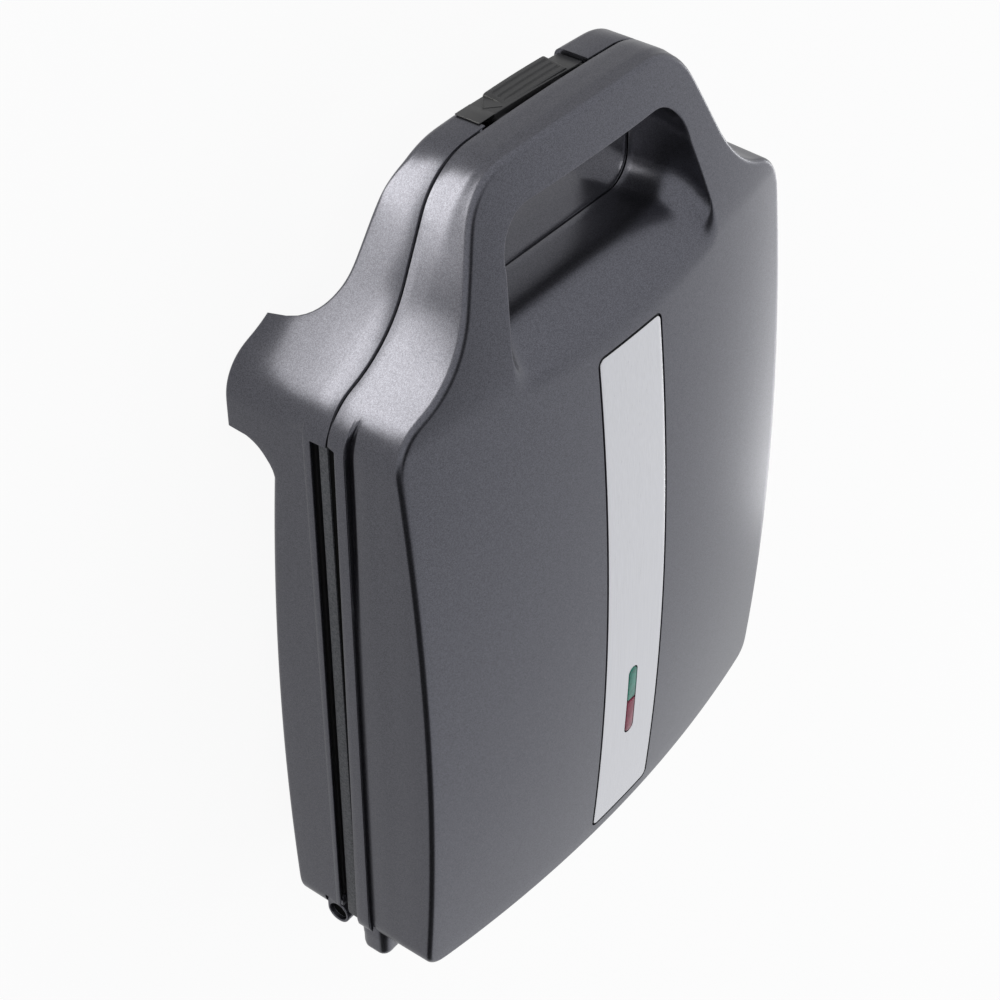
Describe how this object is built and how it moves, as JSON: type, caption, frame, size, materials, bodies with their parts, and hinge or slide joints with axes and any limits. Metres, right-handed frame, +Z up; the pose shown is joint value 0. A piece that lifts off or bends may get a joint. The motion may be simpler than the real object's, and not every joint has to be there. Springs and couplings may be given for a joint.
{
  "type": "sandwich toaster",
  "caption": "Clamshell sandwich toaster with a crowned lid on a rear hinge, ridged non-stick plates, a grip cut through both halves and a sliding latch in the handle.",
  "frame": {"origin": "centre of the bounding box on the table plane, under the feet, with the lid closed", "axes": "+Z up, -Y to the front (the handle), +Y to the rear (the hinge), X across the width"},
  "size_m": [0.2524, 0.3666, 0.1049],
  "materials": {
    "housing": "satin dark grey lacquer with fine metallic flake",
    "plate_frame": "fine speckled grey moulded plastic",
    "black_plastic": "matt black moulded plastic",
    "dark_plastic": "satin dark grey moulded plastic",
    "latch_plastic": "satin black moulded plastic",
    "white_plastic": "heat resistant off-white plastic",
    "brushed_trim": "fine brushed stainless steel",
    "nonstick": "cast aluminium with dark non-stick coating",
    "element_sheath": "oxidised steel sheath",
    "reflector": "bright rolled sheet",
    "steel": "zinc plated steel",
    "ceramic_body": "unglazed ceramic",
    "black_rubber": "matt black rubber",
    "green_lens": "clear moulded green lens",
    "red_lens": "clear moulded red lens",
    "lamp_glass": "clear lamp glass"
  },
  "bodies": {
    "base": {"base_shell": "housing", "base_bezel": "black_plastic", "lower_grill_plate": "nonstick", "lower_heating_element": "element_sheath", "lower_reflector": "reflector", "thermostat": "ceramic_body", "thermal_fuse": "ceramic_body", "terminal_block": "white_plastic", "cord_gland": "black_rubber", "hinge_bracket_left": "dark_plastic", "hinge_bracket_right": "dark_plastic", "hinge_pin_left": "steel", "hinge_pin_right": "steel", "front_foot_pads": "black_rubber", "rear_foot_pads": "black_rubber", "base_screws": "steel", "lower_plate_screws": "steel"},
    "lid": {"lid_shell": "housing", "lid_bezel": "plate_frame", "upper_grill_plate": "nonstick", "upper_heating_element": "element_sheath", "upper_reflector": "reflector", "lid_hinge_lug_left": "dark_plastic", "lid_hinge_lug_right": "dark_plastic", "trim_plate": "brushed_trim", "trim_pad": "black_plastic", "ready_lens": "green_lens", "power_lens": "red_lens", "lamp_holder": "white_plastic", "ready_lamp": "lamp_glass", "power_lamp": "lamp_glass", "latch_catch": "black_plastic", "lid_screws": "steel", "upper_plate_screws": "steel"},
    "latch": {"latch_slider": "latch_plastic"}
  },
  "joints": [
    {"name": "lid_hinge", "type": "hinge", "parent": "base", "child": "lid", "pos_m": [0, 0.1703, 0.0395], "axis": [-1, 0, 0], "range_deg": [0, 100]},
    {"name": "latch_slide", "type": "slide", "parent": "base", "child": "latch", "axis": [1, 0, 0], "range_m": [0, 0.007]}
  ]
}
